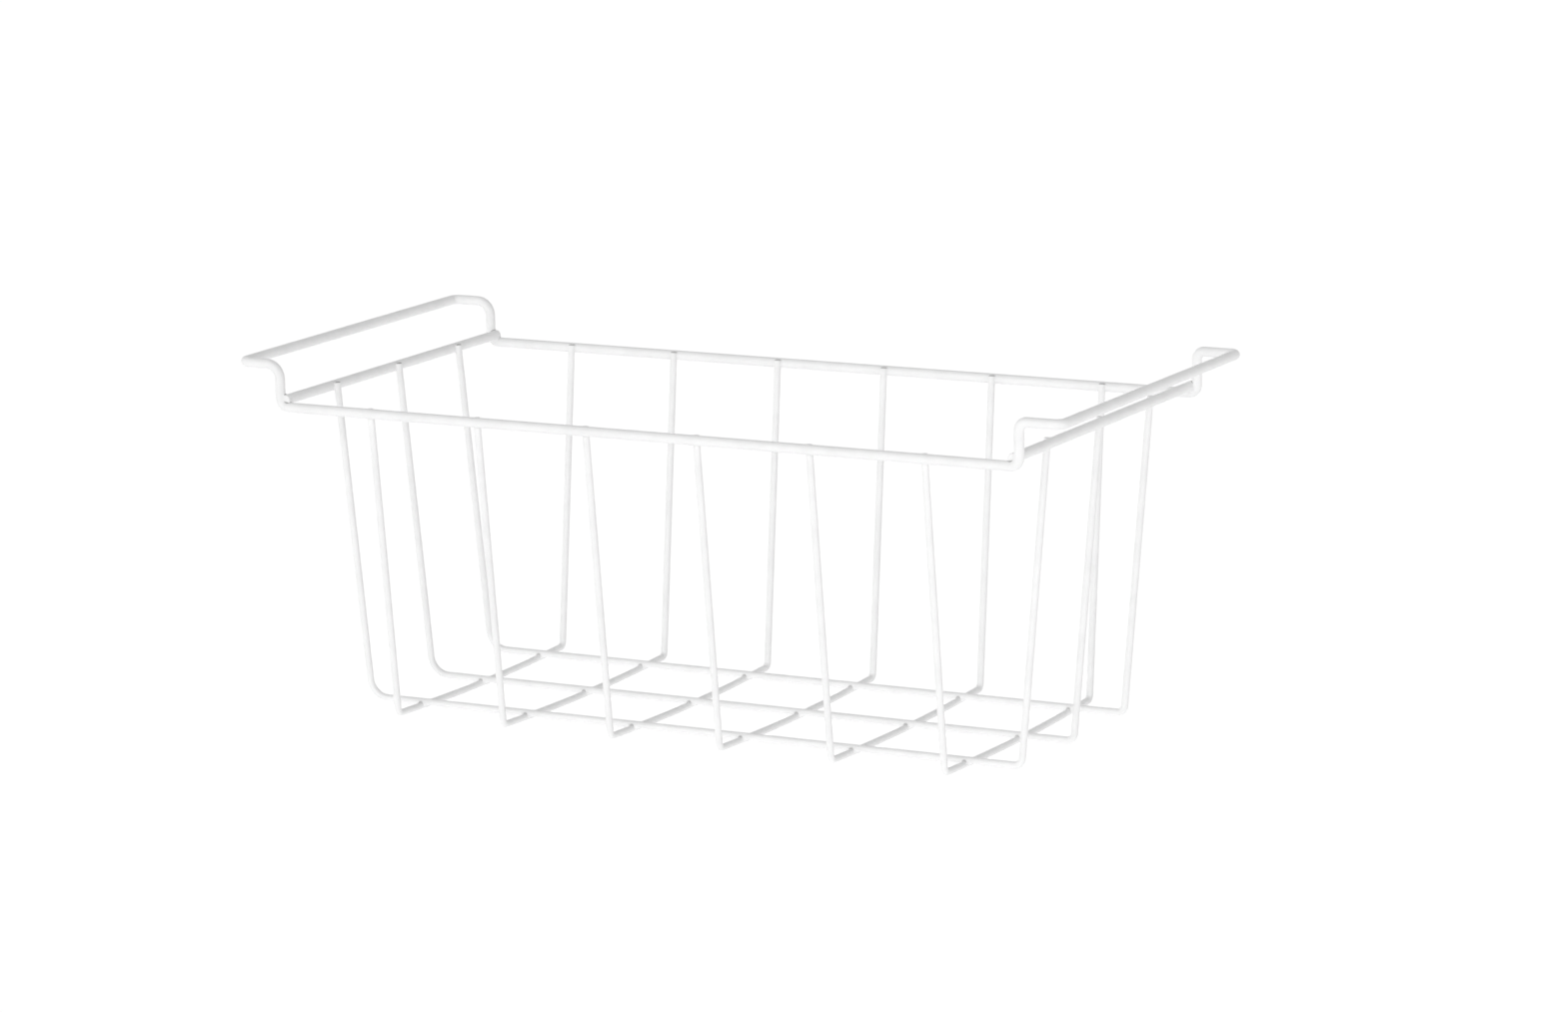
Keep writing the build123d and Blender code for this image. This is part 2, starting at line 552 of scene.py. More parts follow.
def fresh_tree(name: str, inputs: dict[str, tuple[str, float | int | None]]) -> bpy.types.NodeTree:
    """Make a Geometry Nodes tree with a geometry input, named inputs and a geometry output.

    Args:
        name: The tree's name.
        inputs: For each named input, its socket type and its starting value, if it has one.

    Returns:
        The tree, still without nodes.
    """
    tree = bpy.data.node_groups.new(name, "GeometryNodeTree")
    tree.interface.new_socket("Geometry", in_out="INPUT", socket_type="NodeSocketGeometry")
    for label, (kind, value) in inputs.items():
        socket = tree.interface.new_socket(label, in_out="INPUT", socket_type=kind)
        if value is not None:
            socket.default_value = value
    tree.interface.new_socket("Geometry", in_out="OUTPUT", socket_type="NodeSocketGeometry")
    return tree


def grow(base: bpy.types.Mesh, tree: bpy.types.NodeTree, name: str, **inputs: Any) -> bpy.types.Object:
    """Run a Geometry Nodes tree on a mesh and keep the result as a plain mesh object.

    Args:
        base: The mesh that the tree starts from.
        tree: The Geometry Nodes tree.
        name: The name of the finished piece.
        inputs: Values for the tree's inputs, with underscores for the spaces in their names.

    Returns:
        The finished piece, at the origin.
    """
    seed = bpy.data.objects.new(name + "_seed", base)
    bpy.context.scene.collection.objects.link(seed)
    modifier = seed.modifiers.new("nodes", "NODES")
    modifier.node_group = tree
    for socket in tree.interface.items_tree:
        key = socket.name.replace(" ", "_")
        if socket.in_out == "INPUT" and key in inputs:
            modifier[socket.identifier] = inputs[key]
    evaluated = seed.evaluated_get(bpy.context.evaluated_depsgraph_get())
    mesh = bpy.data.meshes.new_from_object(evaluated, preserve_all_data_layers=False)
    mesh.name = name
    bpy.data.objects.remove(seed)
    bpy.data.meshes.remove(base)
    piece = bpy.data.objects.new(name, mesh)
    bpy.context.scene.collection.objects.link(piece)
    return piece


@dataclass(frozen=True)
class CoatSkin:
    """The two Geometry Nodes trees that lay the coat on the wires and in the welds' creases.

    The ripple's noise runs from about 0.2 to 0.8. Its crest lies on the wire's nominal skin, so the
    coat stays inside the CAD model.
    """

    ripple_height: float = 0.05 * MM
    ripple_size: float = 9.0 * MM
    ripple_crest: float = 0.8
    heavy_segments: int = 40
    light_segments: int = 32

    def segments(self, gauge: Gauge) -> int:
        """Return how many sides the round skin of a wire gets."""
        return self.heavy_segments if gauge is Gauge.HEAVY else self.light_segments

    def coat_inputs(self) -> dict[str, tuple[str, float | None]]:
        """List the named inputs that both trees have.

        Returns:
            For each input, its socket type and its starting value, if it has one.
        """
        return {
            "Ripple Height": ("NodeSocketFloat", self.ripple_height),
            "Ripple Size": ("NodeSocketFloat", self.ripple_size),
            "Coat": ("NodeSocketMaterial", None),
        }

    def rippled(
        self, tree: bpy.types.NodeTree, geometry: bpy.types.NodeSocket, sizes: bpy.types.Node
    ) -> bpy.types.NodeSocket:
        """Swell the skin a little along its normals, as melted powder does, and dress it.

        Args:
            tree: The tree that gets the nodes.
            geometry: The skin before its swell and material.
            sizes: The group input node.

        Returns:
            The finished geometry.
        """
        place = add_node(tree, "GeometryNodeInputPosition").outputs["Position"]
        normal = add_node(tree, "GeometryNodeInputNormal").outputs["Normal"]
        size = sizes.outputs["Ripple Size"]
        scale = add_node(tree, "ShaderNodeMath", {0: 1.0, 1: size}, operation="DIVIDE").outputs[0]
        noise = add_node(tree, "ShaderNodeTexNoise", {"Vector": place, "Scale": scale, "Detail": 1.0})
        both = {0: noise.outputs["Fac"], 1: self.ripple_crest}
        swell = add_node(tree, "ShaderNodeMath", both, operation="SUBTRACT").outputs[0]
        both = {0: swell, 1: sizes.outputs["Ripple Height"]}
        height = add_node(tree, "ShaderNodeMath", both, operation="MULTIPLY").outputs[0]
        along = {0: normal, "Scale": height}
        offset = add_node(tree, "ShaderNodeVectorMath", along, operation="SCALE").outputs[0]
        moved = add_node(tree, "GeometryNodeSetPosition", {"Geometry": geometry, "Offset": offset})
        real = add_node(tree, "GeometryNodeRealizeInstances", {"Geometry": moved.outputs[0]})
        dressed = {"Geometry": real.outputs[0], "Material": sizes.outputs["Coat"]}
        return add_node(tree, "GeometryNodeSetMaterial", dressed).outputs[0]

    def wire_tree(self) -> bpy.types.NodeTree:
        """Build the tree that sweeps a round skin with cut ends along a wire's centre line.

        Returns:
            The Geometry Nodes tree.
        """
        tree = fresh_tree(
            "coated_wire",
            {
                "Wire Radius": ("NodeSocketFloat", Gauge.HEAVY.radius),
                "Round Segments": ("NodeSocketInt", self.heavy_segments),
                **self.coat_inputs(),
            },
        )
        sizes = add_node(tree, "NodeGroupInput")
        width = add_node(tree, "GeometryNodeInputNamedAttribute", {"Name": WIDTH_SHARE}, data_type="FLOAT")
        line = add_node(tree, "GeometryNodeMeshToCurve", {"Mesh": sizes.outputs["Geometry"]})
        circle = add_node(
            tree,
            "GeometryNodeCurvePrimitiveCircle",
            {"Resolution": sizes.outputs["Round Segments"], "Radius": sizes.outputs["Wire Radius"]},
        )
        skin = add_node(
            tree,
            "GeometryNodeCurveToMesh",
            {
                "Curve": line.outputs["Curve"],
                "Profile Curve": circle.outputs["Curve"],
                "Scale": width.outputs["Attribute"],
                "Fill Caps": True,
            },
        )
        smooth = add_node(tree, "GeometryNodeSetShadeSmooth", {"Geometry": skin.outputs["Mesh"]})
        add_node(tree, "NodeGroupOutput", {"Geometry": self.rippled(tree, smooth.outputs[0], sizes)})
        return tree

    def weld_tree(self) -> bpy.types.NodeTree:
        """Build the tree that sets one bead of coat at every weld of its kind.

        Returns:
            The Geometry Nodes tree.
        """
        tree = fresh_tree("weld_beads", {"Bead": ("NodeSocketObject", None), **self.coat_inputs()})
        sizes = add_node(tree, "NodeGroupInput")
        bead = add_node(tree, "GeometryNodeObjectInfo", {"Object": sizes.outputs["Bead"]})
        turn = add_node(tree, "GeometryNodeInputNamedAttribute", {"Name": TURN}, data_type="FLOAT")
        spin = add_node(tree, "ShaderNodeCombineXYZ", {"Z": turn.outputs["Attribute"]})
        beads = add_node(
            tree,
            "GeometryNodeInstanceOnPoints",
            {
                "Points": sizes.outputs["Geometry"],
                "Instance": bead.outputs["Geometry"],
                "Rotation": spin.outputs[0],
            },
        )
        real = add_node(tree, "GeometryNodeRealizeInstances", {"Geometry": beads.outputs[0]})
        add_node(tree, "NodeGroupOutput", {"Geometry": self.rippled(tree, real.outputs[0], sizes)})
        return tree


@dataclass(frozen=True)
class Basket:
    """The basket's own sizes, by the names that the CAD model gives them, and its routes.

    The shaded tips say how much painted shade darkens the two cut ends of a light wire: front and
    rear for a transverse wire, left and right for a longitudinal one.
    """

    rim_length: float = 486.0 * MM
    rim_width: float = 246.0 * MM
    rim_height: float = 191.5 * MM
    hanger_reach: float = 26.0 * MM
    hanger_rise: float = 25.5 * MM
    end_bar_rise: float = 4.5 * MM
    end_bar_overhang: float = 1.0 * MM
    end_lean: float = 25.0 * MM
    side_lean: float = 24.0 * MM
    floor_bow: float = 2.2 * MM
    transverse_count: int = 6
    transverse_end_gap: float = 35.5 * MM
    longitudinal_count: int = 3
    longitudinal_side_gap: float = 28.0 * MM
    wire_end_sink: float = 0.6 * MM
    corner_bend_inside: float = 2.5 * MM
    left_shoulder_bend_inside: float = 6.0 * MM
    right_shoulder_bend_inside: float = 2.0 * MM
    hanger_bend_inside: float = 1.8 * MM
    transverse_bend_inside: float = 2.0 * MM
    left_floor_bend_inside: float = 10.0 * MM
    right_floor_bend_inside: float = 3.0 * MM
    corner_weld_depth: float = 2.2 * MM
    rim_weld_depth: float = 1.7 * MM
    floor_weld_depth: float = 1.8 * MM
    # How much painted shade darkens each cut end of the light wires.
    transverse_shaded_tips: tuple[float, float] = (0.0, 0.75)
    longitudinal_shaded_tips: tuple[float, float] = (0.9, 0.0)

    @property
    def leg_x(self) -> float:
        """Return how far the corner legs stand from the middle."""
        return self.rim_length / 2

    @property
    def side_y(self) -> float:
        """Return how far the long sides of the rim lie from the middle."""
        return self.rim_width / 2

    @property
    def end_bar_x(self) -> float:
        """Return how far the end bars lie from the middle."""
        return self.leg_x - (Gauge.HEAVY.value - self.corner_weld_depth)

    @property
    def end_bar_z(self) -> float:
        """Return the height of the end bars."""
        return self.rim_height + self.end_bar_rise

    @property
    def rim_weld_offset(self) -> float:
        """Return the distance between the centre lines at a light wire's upper weld."""
        return Gauge.HEAVY.radius + Gauge.LIGHT.radius - self.rim_weld_depth

    @property
    def transverse_z(self) -> float:
        """Return the height of the transverse wires on the floor."""
        return Gauge.LIGHT.radius

    @property
    def longitudinal_z(self) -> float:
        """Return the height of the longitudinal wires on the floor."""
        return self.transverse_z + Gauge.LIGHT.value - self.floor_weld_depth

    @property
    def bow_radius(self) -> float:
        """Return the radius of the bow of the transverse wires along the floor."""
        half = self.side_y - self.side_lean
        return (half**2 + self.floor_bow**2) / (2 * self.floor_bow)

    def floor_rise(self, y: float) -> float:
        """Return how far the bowed floor lies above its middle, at a place across the basket."""
        return self.bow_radius - math.sqrt(self.bow_radius**2 - y**2)

    @property
    def transverse_x(self) -> list[float]:
        """Return the places of the transverse wires along the basket."""
        floor_length = self.rim_length - 2 * self.end_lean
        return self.spread(self.transverse_count, floor_length, self.transverse_end_gap)

    @property
    def longitudinal_y(self) -> list[float]:
        """Return the places of the longitudinal wires across the basket."""
        floor_width = self.rim_width - 2 * self.side_lean
        return self.spread(self.longitudinal_count, floor_width, self.longitudinal_side_gap)

    @staticmethod
    def spread(count: int, length: float, end_gap: float) -> list[float]:
        """Return places spaced evenly about zero, on a length that has a gap at each end."""
        pitch = (length - 2 * end_gap) / max(count - 1, 1)
        return [(index - (count - 1) / 2) * pitch for index in range(count)]

    def rim(self) -> Route:
        """Run the closed loop of the rim with its legs and hanger bars.

        Returns:
            The loop's route.
        """
        heavy = Gauge.HEAVY.radius
        corner = self.corner_bend_inside + heavy
        hanger = self.hanger_bend_inside + heavy
        insides = {Side.LOW: self.left_shoulder_bend_inside, Side.HIGH: self.right_shoulder_bend_inside}
        low, high = self.rim_height, self.rim_height + self.hanger_rise
        reach = self.leg_x + self.hanger_reach
        bends = []
        for side in Side:
            x, y = side.value, self.side_y
            shoulder = insides[side] + heavy
            bends += [
                Bend(np.array((x * self.leg_x, x * -y, low)), corner),
                Bend(np.array((x * self.leg_x, x * -y, high)), shoulder),
                Bend(np.array((x * reach, x * -y, high)), hanger),
                Bend(np.array((x * reach, x * y, high)), hanger),
                Bend(np.array((x * self.leg_x, x * y, high)), shoulder),
                Bend(np.array((x * self.leg_x, x * y, low)), corner),
            ]
        return Route(Route.through(bends, closed=True), Gauge.HEAVY, closed=True)

    def end_bar(self, side: Side) -> Route:
        """Run the straight bar that closes the rim at one end.

        Args:
            side: The end of the basket.

        Returns:
            The bar's route.
        """
        half = self.side_y + self.end_bar_overhang
        x, z = side.value * self.end_bar_x, self.end_bar_z
        return Route([Straight(np.array((x, -half, z)), np.array((x, half, z)))], Gauge.HEAVY)

    def transverse(self, x: float) -> Route:
        """Run a light wire across the basket, bowed down along the floor.

        Each floor bend touches the upright and the bow, so its centre is the bend's radius from the
        upright, and from the bow's centre it is as far as the bow's radius less the bend's.

        Args:
            x: The wire's place along the basket.

        Returns:
            The wire's route from the front rim to the rear rim.
        """
        weld = np.array((self.side_y - self.rim_weld_offset, self.rim_height))
        corner = np.array((self.side_y - self.side_lean, self.transverse_z + self.floor_bow))
        top = self.upright_top(weld, corner)
        up = (top - corner) / np.linalg.norm(top - corner)
        bend_radius = self.transverse_bend_inside + Gauge.LIGHT.radius
        bow_centre = np.array((0.0, self.transverse_z + self.bow_radius))
        beside = corner + bend_radius * np.array((-up[1], up[0])) - bow_centre
        drop = beside @ up
        rise = -drop - math.sqrt(drop**2 - beside @ beside + (self.bow_radius - bend_radius) ** 2)
        arm = beside + rise * up
        upright_touch = corner + rise * up
        bow_touch = bow_centre + arm * (self.bow_radius / np.linalg.norm(arm))

        def place(spot: Point, side: Side = Side.HIGH) -> Point:
            """Return the place of a spot on one of the long sides."""
            return np.array((x, side.value * spot[0], spot[1]))

        low, high = Side.LOW, Side.HIGH
        bend = bow_centre + arm
        pieces = [
            Straight(place(top, low), place(upright_touch, low)),
            Arc.between(place(bend, low), place(upright_touch, low), place(bow_touch, low)),
            Arc.between(place(bow_centre), place(bow_touch, low), place(bow_touch, high)),
            Arc.between(place(bend, high), place(bow_touch, high), place(upright_touch, high)),
            Straight(place(upright_touch, high), place(top, high)),
        ]
        return Route(pieces, Gauge.LIGHT, shaded_tips=self.transverse_shaded_tips)

    def longitudinal(self, y: float) -> Route:
        """Run a light wire along the basket.

        Args:
            y: The wire's place across the basket.

        Returns:
            The wire's route from the left end bar to the right one.
        """
        weld = np.array((self.end_bar_x - self.rim_weld_offset, self.end_bar_z))
        corner = np.array((self.leg_x - self.end_lean, self.longitudinal_z + self.floor_rise(y)))
        top = self.upright_top(weld, corner)
        left = self.left_floor_bend_inside + Gauge.LIGHT.radius
        right = self.right_floor_bend_inside + Gauge.LIGHT.radius
        bends = [
            Bend(np.array((-top[0], y, top[1])), 0.0),
            Bend(np.array((-corner[0], y, corner[1])), left),
            Bend(np.array((corner[0], y, corner[1])), right),
            Bend(np.array((top[0], y, top[1])), 0.0),
        ]
        return Route(Route.through(bends), Gauge.LIGHT, shaded_tips=self.longitudinal_shaded_tips)

    def upright_top(self, weld: Point, corner: Point) -> Point:
        """Return a light wire's end, just below the heavy wire's top, from its weld and floor corner."""
        rise = Gauge.HEAVY.radius - self.wire_end_sink
        return weld + (weld - corner) * rise / (weld[1] - corner[1])


@dataclass(frozen=True)
class Bead:
    """The fillet of coat in the crease between two wires, as melted powder leaves it.

    Its skin is hollow, with the fillet's radius, and it is bedded in both wires by bed_depth, so that
    no gap shows. It is looked for within reach of the weld's centre, on a grid with steps of
    grid_step. Its colour is darkened with painted shade up to shade_span of its radius from the
    farther wire, where the skin's slope upwards is more than the first shade_upness, and most from
    the second one on.
    """

    first: Route
    second: Route
    centre: Point
    fillet: float
    reach: float
    crease_bareness: float
    bed_depth: float = 0.35 * MM
    grid_step: float = 0.2 * MM
    probe_share: float = 0.02
    shown_share: float = 0.05
    settling_rounds: int = 3
    least_steepness: float = 0.25
    sharp_angle: float = math.radians(40)
    shade_span: float = 0.95
    shade_upness: tuple[float, float] = (0.40, 0.65)

    def gaps(self, places: Points) -> tuple[Values, Values]:
        """Return the distances from places to the skins of the two wires."""
        return self.first.distance(places), self.second.distance(places)

    def fillet_skin(self, places: Points) -> Values:
        """Measure how far places lie from the skin of both wires with the round fillet between them.

        Args:
            places: The places.

        Returns:
            A field that is zero on that skin and below zero inside it.
        """
        first, second = self.gaps(places)
        over = np.hypot(np.maximum(self.fillet - first, 0), np.maximum(self.fillet - second, 0))
        return np.maximum(self.fillet, np.minimum(first, second)) - over

    def field(self, places: Points) -> Values:
        """Measure how far places lie from the closed skin of the bead.

        Args:
            places: The places.

        Returns:
            A field that is zero on that skin and below zero inside it.
        """
        first, second = self.gaps(places)
        bed = -(np.minimum(first, second) + self.bed_depth)
        edge = np.maximum(first, second) - self.fillet
        return np.maximum.reduce([self.fillet_skin(places), bed, edge])

    def slope(self, places: Points) -> Points:
        """Find which way, and how fast, the fillet's field grows.

        Args:
            places: The places.

        Returns:
            The field's slope at each place along the three axes.
        """
        probe = self.grid_step * self.probe_share
        value, steps = self.fillet_skin(places), probe * np.eye(3)
        return np.stack([self.fillet_skin(places + step) - value for step in steps], axis=1) / probe

    def settled(self, corners: Points) -> Points:
        """Move the corners of the visible skin exactly onto the fillet.

        Args:
            corners: All corners of the bead's mesh.

        Returns:
            The corners in their new places.
        """
        hidden_by = np.abs(self.field(corners) - self.fillet_skin(corners))
        shown = hidden_by < self.grid_step * self.shown_share
        moved = corners.copy()
        for _ in range(self.settling_rounds):
            value, slope = self.fillet_skin(moved), self.slope(moved)
            steep = np.maximum((slope**2).sum(axis=1), self.least_steepness)
            shift = -(value / steep)[:, None] * slope
            moved += np.where(shown[:, None], np.clip(shift, -self.grid_step, self.grid_step), 0)
        return moved

    def bareness(self, corners: Points) -> Values:
        """Find how much painted shade darkens the fillet, most in its middle and where it faces up.

        Args:
            corners: All corners of the bead's mesh.

        Returns:
            For each corner, zero for the plain coat colour and one for the full painted shade.
        """
        # Painted shade in the crease: greyest in its middle and where its skin faces up.
        farther = np.maximum.reduce(self.gaps(corners)) / self.fillet
        middle = 1 - math.sqrt(0.5)
        within = np.clip((self.shade_span - farther) / (self.shade_span - middle), 0, 1)
        low, high = self.shade_upness
        upward = np.clip((self.slope(corners)[:, 2] - low) / (high - low), 0, 1)
        return self.crease_bareness * within * upward

    def mesh(self, name: str) -> bpy.types.Mesh:
        """Make the bead as a closed mesh.

        Args:
            name: The mesh's name.

        Returns:
            The mesh, with its origin at the weld's centre.
        """
        corners, quads = skin_of(self.field, self.centre, self.reach, self.grid_step)
        corners = self.settled(corners)
        mesh = bpy.data.meshes.new(name)
        mesh.from_pydata((corners - self.centre).tolist(), [], quads.tolist())
        note(mesh, PAINTED_SHADE, self.bareness(corners))
        mesh.polygons.foreach_set("use_smooth", [True] * len(mesh.polygons))
        mesh.set_sharp_from_angle(angle=self.sharp_angle)
        mesh.update()
        return mesh


def skin_of(
    field: Callable[[Points], Values], centre: Point, reach: float, step: float
) -> tuple[Points, np.ndarray]:
    """Find the surface on which a field is zero, with one corner in each grid cell that it crosses.

    Args:
        field: Gives the field's values at an array of places.
        centre: Middle of the cube that is searched.
        reach: Half of the cube's side.
        step: Side of a grid cell.

    Returns:
        The surface's corners, and its faces as four corner numbers each, turned outwards.
    """
    count = math.ceil(2 * reach / step) + 1
    axis = (np.arange(count) - (count - 1) / 2) * step
    grid = np.stack(np.meshgrid(axis, axis, axis, indexing="ij"), axis=-1).reshape(-1, 3) + centre
    value = field(grid).reshape(count, count, count)
    total = np.zeros((count - 1, count - 1, count - 1, 3))
    hits = np.zeros((count - 1, count - 1, count - 1))
    faces = []
    for along in range(3):
        low = np.take(value, np.arange(count - 1), axis=along)
        high = np.take(value, np.arange(1, count), axis=along)
        index = np.argwhere((low < 0) != (high < 0))
        first, second = (along + 1) % 3, (along + 2) % 3
        inner = (index[:, [first, second]] > 0) & (index[:, [first, second]] < count - 1)
        index = index[inner.all(axis=1)]
        at_low, at_high = low[tuple(index.T)], high[tuple(index.T)]
        crossing = index.astype(float)
        crossing[:, along] += at_low / (at_low - at_high)
        ring = []
        for back_first, back_second in ((0, 0), (1, 0), (1, 1), (0, 1)):
            cell = index.copy()
            cell[:, first] -= back_first
            cell[:, second] -= back_second
            np.add.at(total, tuple(cell.T), crossing)
            np.add.at(hits, tuple(cell.T), 1)
            ring.append(np.ravel_multi_index(tuple(cell.T), hits.shape))
        face = np.stack(ring, axis=1)
        face[at_low > 0] = face[at_low > 0][:, ::-1]
        faces.append(face)
    quads = np.concatenate(faces)
    used, numbers = np.unique(quads, return_inverse=True)
    mean = total.reshape(-1, 3)[used] / hits.reshape(-1)[used][:, None]
    corners = centre + (mean - (count - 1) / 2) * step
    return corners, numbers.reshape(quads.shape)


@dataclass(frozen=True)
class WireWork:
    """All wires of the basket, each a coated skin that stands for its CAD node."""

    basket: Basket
    skin: CoatSkin
    coat: bpy.types.Material
    box_tolerance: float = 0.5 * MM

    def routes(self) -> dict[str, Route]:
        """Lay the centre line of every wire.

        Returns:
            The routes by the names of their CAD nodes.
        """
        basket = self.basket
        routes = {"rim_wire": basket.rim()}
        routes["end_bar_left"] = basket.end_bar(Side.LOW)
        routes["end_bar_right"] = basket.end_bar(Side.HIGH)
        for number, x in enumerate(basket.transverse_x, start=1):
            routes[f"transverse_wire_{number}"] = basket.transverse(x)
        for number, y in enumerate(basket.longitudinal_y, start=1):
            routes[f"longitudinal_wire_{number}"] = basket.longitudinal(y)
        return routes

    def build(self) -> None:
        """Make every wire and put it in the place of its CAD node."""
        tree = self.skin.wire_tree()
        for node, route in self.routes().items():
            piece = grow(
                route.mesh(node + "_line"),
                tree,
                "coated_" + node,
                Wire_Radius=route.gauge.radius,
                Round_Segments=self.skin.segments(route.gauge),
                Coat=self.coat,
            )
            self.compare(piece, node)
            stand_for(piece, node)

    def compare(self, piece: bpy.types.Object, node: str) -> None:
        """Stop the script if a wire's box isn't that of its CAD node.

        Args:
            piece: The finished wire.
            node: The CAD node.
        """
        corners = np.array([vertex.co for vertex in piece.data.vertices])
        low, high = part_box(node)
        off = max(np.abs(corners.min(axis=0) - low).max(), np.abs(corners.max(axis=0) - high).max())
        log.info("%s: box differs from the CAD node's by %.3f mm", piece.name, off / MM)
        if off > self.box_tolerance:
            raise ValueError(f"{piece.name} isn't where its CAD node is")


def stand_for(piece: bpy.types.Object, node: str) -> None:
    """Put a finished piece in the place of a CAD node and report it.

    Args:
        piece: The finished piece.
        node: The CAD node.
    """
    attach(piece, BODY)
    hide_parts(node)
    log.info("%s: %d faces, stands for %s", piece.name, len(piece.data.polygons), node)


# A weld's place with its bead's turn about the upright axis, and beads with all their spots.
Spot = tuple[tuple[float, float, float], float]
Beads = list[tuple[Bead, list[Spot]]]


@dataclass(frozen=True)
class WeldWork:
    """All beads of coat at the spot welds, one piece for each of the four kinds of weld."""

    basket: Basket
    skin: CoatSkin
    coat: bpy.types.Material
    corner_fillet: float = 1.1 * MM
    rim_fillet: float = 0.7 * MM
    floor_fillet: float = 1.4 * MM
    # How strongly painted shade darkens the crease, for each kind of weld.
    corner_bareness: float = 0.9
    rim_bareness: float = 0.25
    floor_bareness: float = 0.5
    corner_box: float = 11.0 * MM
    rim_box: float = 6.5 * MM
    floor_box: float = 5.0 * MM

    def build(self) -> None:
        """Make the beads of every kind and put them in the place of their CAD nodes."""
        self.lay("rim_welds", self.rim_beads())
        self.lay("end_bar_welds", self.end_bar_beads())
        self.lay("floor_welds", self.floor_beads())
        self.lay("corner_welds", self.corner_beads())

    def rim_beads(self) -> Beads:
        """Shape the bead where a transverse wire meets the rim.

        Returns:
            The bead, with its spots on both long sides.
        """
        basket = self.basket
        x, z = basket.transverse_x[-1], basket.rim_height
        y = basket.side_y - basket.rim_weld_offset / 2
        crossing = basket.rim(), basket.transverse(x), np.array((x, y, z))
        bead = Bead(*crossing, self.rim_fillet, self.rim_box, self.rim_bareness)
        spots = [((x, side.value * y, z), side.turn) for x in basket.transverse_x for side in Side]
        return [(bead, spots)]

    def end_bar_beads(self) -> Beads:
        """Shape the bead where a longitudinal wire meets an end bar.

        Returns:
            The bead, with its spots on both bars.
        """
        basket = self.basket
        x, z = basket.end_bar_x - basket.rim_weld_offset / 2, basket.end_bar_z
        crossing = basket.end_bar(Side.HIGH), basket.longitudinal(0.0), np.array((x, 0.0, z))
        bead = Bead(*crossing, self.rim_fillet, self.rim_box, self.rim_bareness)
        spots = [((side.value * x, y, z), side.turn) for y in basket.longitudinal_y for side in Side]
        return [(bead, spots)]

    def floor_beads(self) -> Beads:
        """Shape the beads where the wires cross on the bowed floor.

        Returns:
            One bead for each longitudinal wire, with its spots on the transverse wires.
        """
        basket = self.basket
        x = basket.transverse_x[-1]
        kinds = []
        for y in basket.longitudinal_y:
            z = (basket.transverse_z + basket.longitudinal_z) / 2 + basket.floor_rise(y)
            crossing = basket.transverse(x), basket.longitudinal(y), np.array((x, y, z))
            bead = Bead(*crossing, self.floor_fillet, self.floor_box, self.floor_bareness)
            kinds.append((bead, [((place, y, z), 0.0) for place in basket.transverse_x]))
        return kinds

    def corner_beads(self) -> Beads:
        """Shape the beads where the right end bar laps the legs, which fit the left one turned round.

        Returns:
            One bead for each leg, with its spots at both ends of the basket.
        """
        basket = self.basket
        x, z = (basket.leg_x + basket.end_bar_x) / 2, basket.end_bar_z
        kinds = []
        for side in Side:
            y = side.value * basket.side_y
            crossing = basket.rim(), basket.end_bar(Side.HIGH), np.array((x, y, z))
            bead = Bead(*crossing, self.corner_fillet, self.corner_box, self.corner_bareness)
            kinds.append((bead, [((x, y, z), Side.HIGH.turn), ((-x, -y, z), Side.LOW.turn)]))
        return kinds

    def lay(self, node: str, kinds: Beads) -> None:
        """Lay beads at their spots and join them into the piece that stands for one CAD node.

        Args:
            node: The CAD node.
            kinds: Each bead with its spots.
        """
        tree = self.skin.weld_tree()
        parts = []
        for number, (bead, spots) in enumerate(kinds):
            form = bpy.data.objects.new(f"{node}_form_{number}", bead.mesh(f"{node}_form_{number}"))
            bpy.context.scene.collection.objects.link(form)
            base = bpy.data.meshes.new(f"{node}_spots_{number}")
            base.from_pydata([place for place, _ in spots], [], [])
            note(base, TURN, [turn for _, turn in spots])
            parts.append(grow(base, tree, f"coat_{node}_{number}", Bead=form, Coat=self.coat))
            bpy.data.objects.remove(form)
        piece = joined(parts, f"coat_{node}")
        stand_for(piece, node)


def joined(parts: list[bpy.types.Object], name: str) -> bpy.types.Object:
    """Join finished pieces into one object.

    Args:
        parts: The pieces, which all lie at the origin.
        name: The name of the joined piece.

    Returns:
        The joined piece.
    """
    if len(parts) > 1:
        with bpy.context.temp_override(active_object=parts[0], selected_editable_objects=parts):
            bpy.ops.object.join()
    parts[0].name = parts[0].data.name = name
    return parts[0]


def from_front(yaw: float, elevation: float) -> Vector:
    """Return the direction out of the basket's front, turned by a yaw to its right and raised."""
    level = math.cos(elevation)
    return Vector((math.sin(yaw) * level, -math.cos(yaw) * level, math.sin(elevation)))


@dataclass(frozen=True)
class PhotoCamera:
    """The camera, placed and turned as the photograph was taken. Lens and sensor are in millimetres."""

    place: tuple[float, float, float] = (1.5929, -2.9568, 0.8036)
    yaw: float = math.radians(27.869)
    elevation: float = math.radians(11.394)
    roll: float = math.radians(-1.0135)
    lens: float = 131.85
    sensor: float = 36.0
    clip: tuple[float, float] = (0.1, 100.0)

    def build(self) -> None:
        """Make the camera and give it to the scene."""
        data = bpy.data.cameras.new("photo_camera")
        data.lens = self.lens
        data.sensor_width = self.sensor
        data.clip_start, data.clip_end = self.clip
        camera = bpy.data.objects.new("photo_camera", data)
        look = -from_front(self.yaw, self.elevation)
        turn = look.to_track_quat("-Z", "Y").to_matrix().to_4x4() @ Matrix.Rotation(self.roll, 4, "Z")
        camera.matrix_world = Matrix.Translation(self.place) @ turn
        bpy.context.scene.collection.objects.link(camera)
        bpy.context.scene.camera = camera


